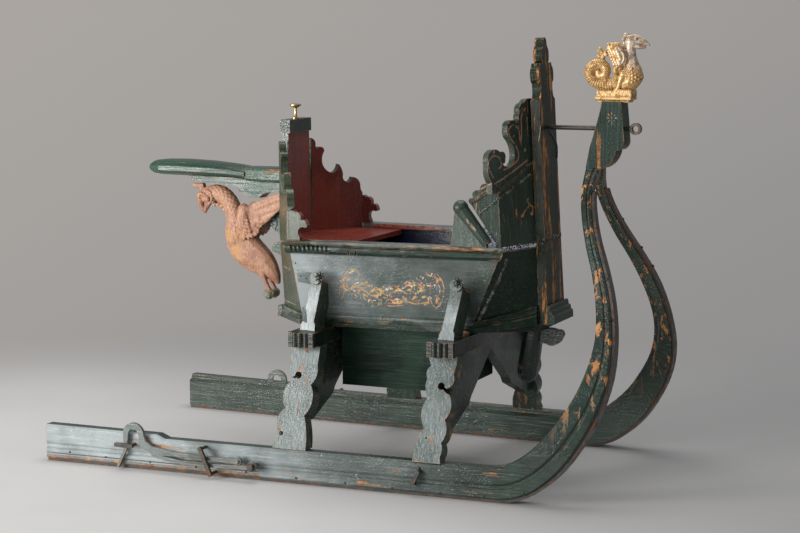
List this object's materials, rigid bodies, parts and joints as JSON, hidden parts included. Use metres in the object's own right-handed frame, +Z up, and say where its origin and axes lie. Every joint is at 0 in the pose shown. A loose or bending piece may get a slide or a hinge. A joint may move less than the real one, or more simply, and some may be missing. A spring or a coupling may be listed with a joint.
{
  "type": "child's sled",
  "caption": "Antique child's sleigh: moulded runners swept up to a carved head, leaning legs, a painted open tub with foot well, rear saddle and brake claws.",
  "frame": {"origin": "centre of the footprint, on the ground under the runners", "axes": "+X forwards, the way it is drawn; +Y to its left; +Z up"},
  "size_m": [1.6784, 0.9162, 1.2348],
  "materials": {
    "iron": "forged iron, dull and rusted",
    "brass": "aged brass",
    "gilding": "worn gilding on carved wood",
    "bare_wood": "bare carved wood, reddish brown",
    "red_paint": "old red paint on wood",
    "dark_paint": "dark green paint on wood",
    "green_paint": "glossy crackled dark green paint on wood"
  },
  "bodies": {
    "sled": {"back_block": "green_paint", "back_board": "red_paint", "baluster_left": "green_paint", "baluster_right": "green_paint", "beam_front": "green_paint", "beam_rear": "green_paint", "brace_front": "green_paint", "brace_rear": "green_paint", "cheek_left": "green_paint", "cheek_right": "green_paint", "claw_guide_left": "iron", "claw_guide_right": "iron", "claw_rivet_left": "iron", "claw_rivet_right": "iron", "dragon": "gilding", "floor": "dark_paint", "foot_well": "dark_paint", "griffin": "bare_wood", "leg_front_left": "green_paint", "leg_front_right": "green_paint", "leg_rear_left": "green_paint", "leg_rear_right": "green_paint", "prow_post": "green_paint", "rail_left": "green_paint", "rail_right": "green_paint", "rear_side_left": "green_paint", "rear_side_right": "green_paint", "rein_pin": "brass", "runner_head": "green_paint", "runner_left": "green_paint", "runner_right": "green_paint", "runner_staple_left": "iron", "runner_staple_right": "iron", "saddle": "green_paint", "saddle_bearer": "green_paint", "seat_board": "red_paint", "shoe_left": "iron", "shoe_right": "iron", "side_panel_left": "green_paint", "side_panel_right": "green_paint", "skirt_back": "green_paint", "skirt_cheek_left": "green_paint", "skirt_cheek_right": "green_paint", "skirt_prow": "green_paint", "skirt_rear_left": "green_paint", "skirt_rear_right": "green_paint", "skirt_side_left": "green_paint", "skirt_side_right": "green_paint", "stay_rod": "iron", "stem": "green_paint", "strut_front_left": "green_paint", "strut_front_right": "green_paint", "strut_rear_left": "green_paint", "strut_rear_right": "green_paint", "wing_left": "green_paint", "wing_right": "green_paint"},
    "claw_right": {"brake_claw_right": "iron"},
    "claw_left": {"brake_claw_left": "iron"}
  },
  "joints": [
    {"name": "claw_right_press", "type": "hinge", "parent": "sled", "child": "claw_right", "pos_m": [-0.16, -0.439, 0.045], "axis": [0, 1, 0], "range_deg": [-2.2, 0], "stiffness_Nm_per_rad": 60, "springref_deg": 2.86},
    {"name": "claw_left_press", "type": "hinge", "parent": "sled", "child": "claw_left", "pos_m": [-0.16, 0.439, 0.045], "axis": [0, 1, 0], "range_deg": [-2.2, 0], "stiffness_Nm_per_rad": 60, "springref_deg": 2.86}
  ]
}
